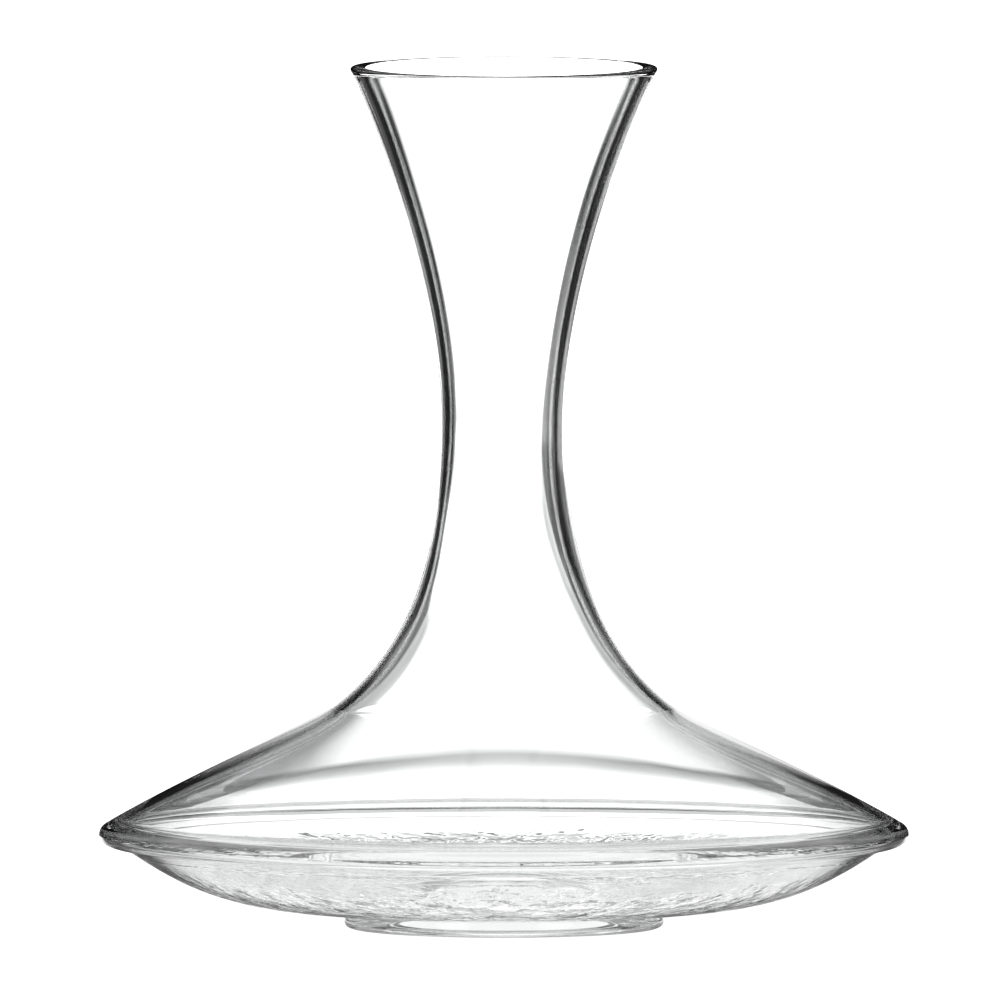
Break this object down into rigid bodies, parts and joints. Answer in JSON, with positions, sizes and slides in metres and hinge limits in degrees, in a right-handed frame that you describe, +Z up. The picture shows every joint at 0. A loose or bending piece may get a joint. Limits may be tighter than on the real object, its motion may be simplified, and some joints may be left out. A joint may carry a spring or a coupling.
{
  "type": "wine decanter",
  "caption": "Clear glass wine decanter with a flared mouth, a slim waisted neck, a wide sloping shoulder with an overhanging lip, a shallow bowl and a foot ring.",
  "frame": {"origin": "centre of the foot ring's flat underside, on the surface that the decanter stands on", "axes": "+Z up along the axis of revolution, towards the mouth; the decanter is round, so +X and +Y are free"},
  "size_m": [0.2252, 0.2252, 0.24],
  "materials": {
    "clear_glass": "polished, clear and colourless"
  },
  "bodies": {
    "root": {"neck": "clear_glass", "shoulder": "clear_glass", "bowl": "clear_glass", "foot": "clear_glass"}
  },
  "joints": []
}
